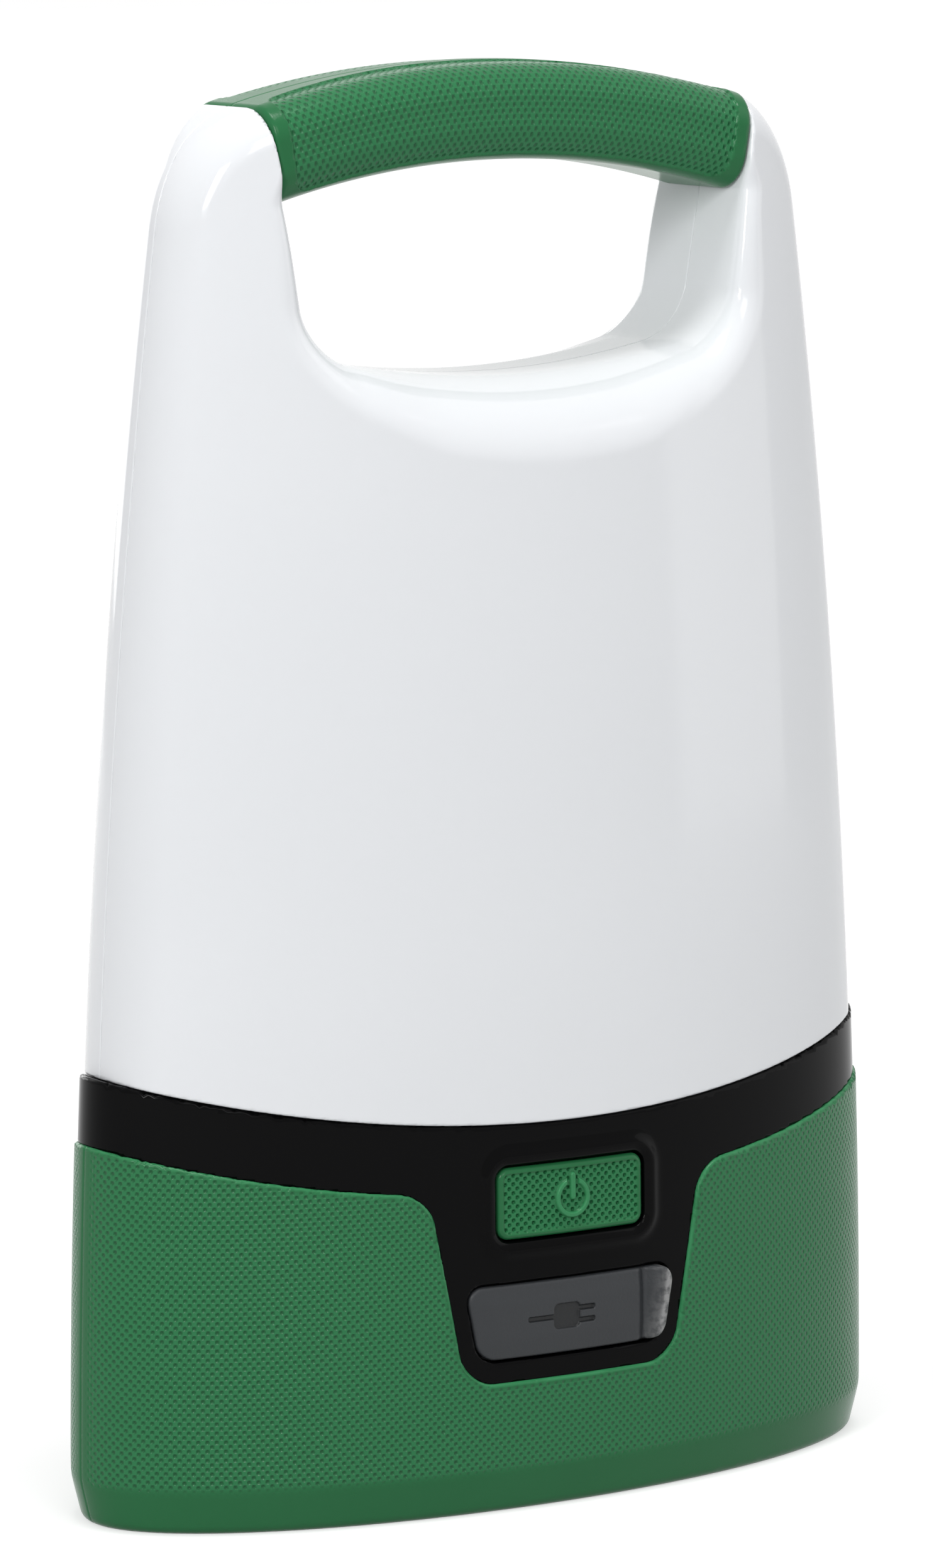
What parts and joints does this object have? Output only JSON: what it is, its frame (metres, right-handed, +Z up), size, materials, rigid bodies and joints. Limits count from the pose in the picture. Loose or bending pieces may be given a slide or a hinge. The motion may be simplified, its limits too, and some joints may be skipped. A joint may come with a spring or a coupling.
{
  "type": "camping lantern",
  "caption": "Slim upright rechargeable camping lantern with an opal shade, an arched carry handle, a rubber-clad base, a push button and a flap over its charging ports.",
  "frame": {"origin": "on the ground under the middle of the base", "axes": "+Z up through the handle, the control panel faces -Y, the width runs along X"},
  "size_m": [0.14, 0.0567, 0.2175],
  "materials": {
    "opal": "glossy opal",
    "grip_green": "soft textured rubber",
    "boot_green": "dimpled rubber",
    "housing_black": "glossy black",
    "button_green": "dimpled rubber",
    "flap_grey": "matt grey rubber",
    "steel": "zinc plated",
    "socket_steel": "tinned",
    "board": "solder mask",
    "switch": "matt",
    "cell": "sleeved cell",
    "tray": "matt black",
    "nickel": "nickel strip",
    "lead": "insulated wire",
    "cover_black": "fine textured",
    "deck_white": "white",
    "led_carrier": "white coated",
    "led": "phosphor"
  },
  "bodies": {
    "lantern": {"shade_front": "opal", "shade_rear": "opal", "handle_grip": "grip_green", "base_housing": "housing_black", "base_boot": "boot_green", "cover_anchor": "flap_grey", "usb_a_port": "socket_steel", "micro_usb_port": "socket_steel", "control_board": "board", "board_screws": "steel", "tact_switch": "switch", "battery_cells": "cell", "battery_tray": "tray", "battery_tabs": "nickel", "battery_leads": "lead", "bottom_cover": "cover_black", "bottom_screws": "steel", "light_deck": "deck_white", "deck_screws": "steel", "led_leads": "lead", "led_board": "led_carrier", "led_board_screws": "steel", "led_chips": "led"},
    "power_button": {"power_button": "button_green"},
    "port_cover": {"port_cover": "flap_grey"}
  },
  "joints": [
    {"name": "button_press", "type": "slide", "parent": "lantern", "child": "power_button", "axis": [0, 1, 0], "range_m": [0, 0.001], "stiffness_N_per_m": 2000},
    {"name": "cover_hinge", "type": "hinge", "parent": "lantern", "child": "port_cover", "pos_m": [-0.0173, -0.0271, 0.0294], "axis": [0.1867, 0, -0.9824], "range_deg": [0, 120]}
  ]
}
